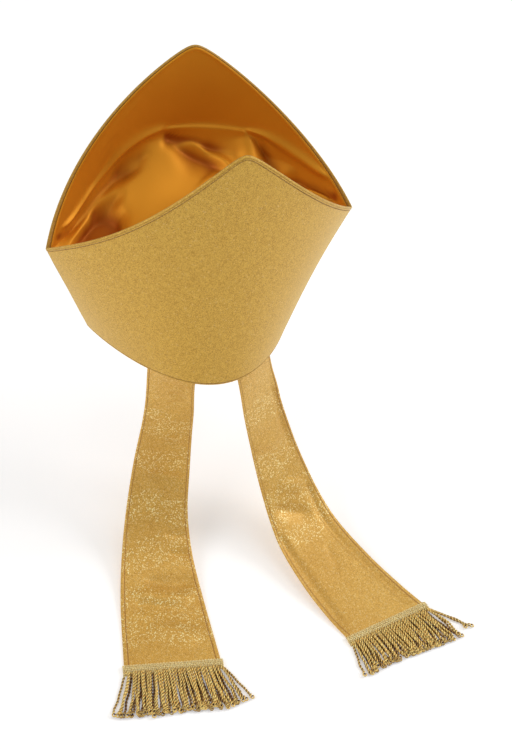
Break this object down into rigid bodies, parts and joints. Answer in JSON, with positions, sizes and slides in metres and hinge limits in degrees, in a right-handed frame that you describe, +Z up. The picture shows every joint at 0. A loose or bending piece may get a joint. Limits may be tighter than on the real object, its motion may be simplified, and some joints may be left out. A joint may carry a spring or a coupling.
{
  "type": "bishop mitre",
  "caption": "Tall folding ceremonial hat with pointed stiff front and back panels, a soft gusset between them and fringed lappets hanging from the back.",
  "frame": {"origin": "centre of the head opening, in the plane of the rim, where a head holds the hat", "axes": "+Z up to the peaks, +Y from the back panel with its lappets to the front panel, +X to the right seen from behind"},
  "size_m": [0.3651, 0.4189, 0.4618],
  "materials": {
    "gold_crepe": "fine pebbled metallic crepe",
    "gold_satin": "smooth orange-gold satin",
    "lappet_lame": "glittering metallic cloth",
    "fringe_braid": "woven metallic thread",
    "fringe_cord": "twisted metallic cord"
  },
  "bodies": {
    "root": {"back_panel": "gold_crepe", "front_panel": "gold_crepe", "gusset": "gold_satin", "lappet_left": "lappet_lame", "lappet_right": "lappet_lame", "fringe_braid_left": "fringe_braid", "fringe_braid_right": "fringe_braid", "fringe_left": "fringe_cord", "fringe_right": "fringe_cord"}
  },
  "joints": []
}
